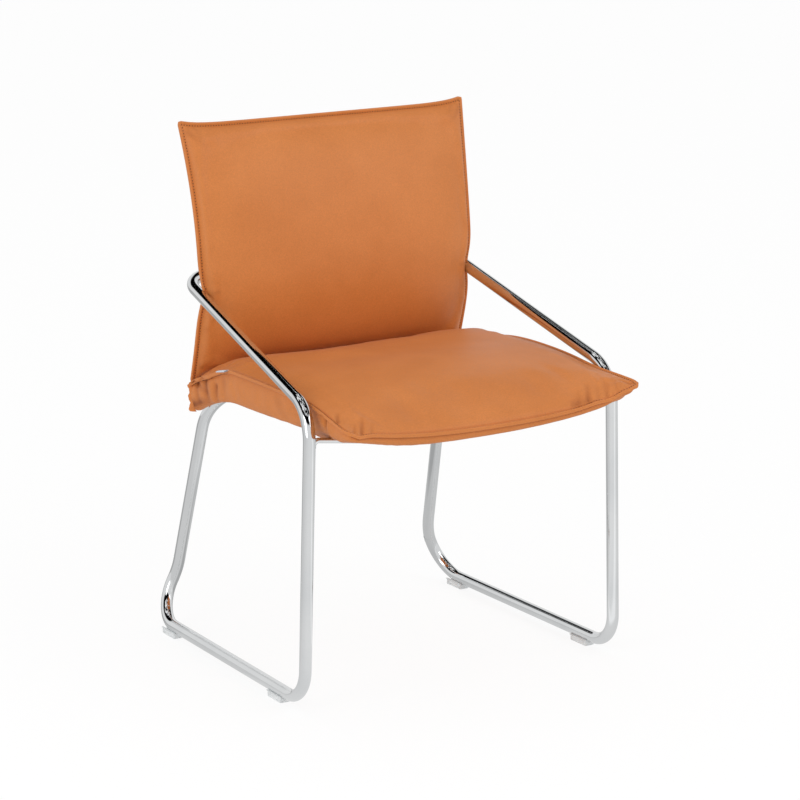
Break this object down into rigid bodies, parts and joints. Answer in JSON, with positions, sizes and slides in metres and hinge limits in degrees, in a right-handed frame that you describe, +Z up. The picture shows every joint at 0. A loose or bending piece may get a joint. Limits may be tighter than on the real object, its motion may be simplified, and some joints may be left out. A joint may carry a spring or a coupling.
{
  "type": "sled base visitor chair",
  "caption": "Visitor chair with a bent chromed tube sled base, low sloping arms, and a crowned seat pad and back pad in tan leather with sewn lips.",
  "frame": {"origin": "on the floor, in the middle of the chair's bounding box", "axes": "+X to the right seen from in front of the chair, towards its node names ending in right; +Y from the seat's front edge to the back; +Z up"},
  "size_m": [0.5498, 0.5712, 0.796],
  "materials": {
    "chrome": "bright chrome plate, mirror-like, on bent steel tube and rod",
    "steel": "zinc-plated, satin",
    "tan_leather": "tan leather with a fine grain and a soft sheen",
    "foam": "open-cell upholstery foam, matt",
    "plywood": "raw plywood",
    "glide_plastic": "milky clear moulded plastic",
    "black_plastic": "fine matt moulding",
    "white_cloth": "plain woven tape"
  },
  "bodies": {
    "root": {"frame_tube_left": "chrome", "frame_tube_right": "chrome", "front_cross_rod": "chrome", "back_bar_joining_pin": "steel", "seat_bar_joining_pin": "steel", "back_bolt_left": "steel", "back_bolt_right": "steel", "back_insert_left": "steel", "back_insert_right": "steel", "seat_bolt_left": "steel", "seat_bolt_right": "steel", "seat_insert_left": "steel", "seat_insert_right": "steel", "rod_clip_screw_left_front": "steel", "rod_clip_screw_left_rear": "steel", "rod_clip_screw_right_front": "steel", "rod_clip_screw_right_rear": "steel", "back_cover_front": "tan_leather", "back_cover_rear": "tan_leather", "seat_cover_top": "tan_leather", "seat_cover_under": "tan_leather", "back_foam_front": "foam", "back_foam_rear": "foam", "seat_foam": "foam", "back_board": "plywood", "seat_board": "plywood", "glide_front_left": "glide_plastic", "glide_front_right": "glide_plastic", "glide_rear_left": "glide_plastic", "glide_rear_right": "glide_plastic", "back_spacer_left": "black_plastic", "back_spacer_right": "black_plastic", "rod_clip_left": "black_plastic", "rod_clip_right": "black_plastic", "seat_tag": "white_cloth"}
  },
  "joints": []
}
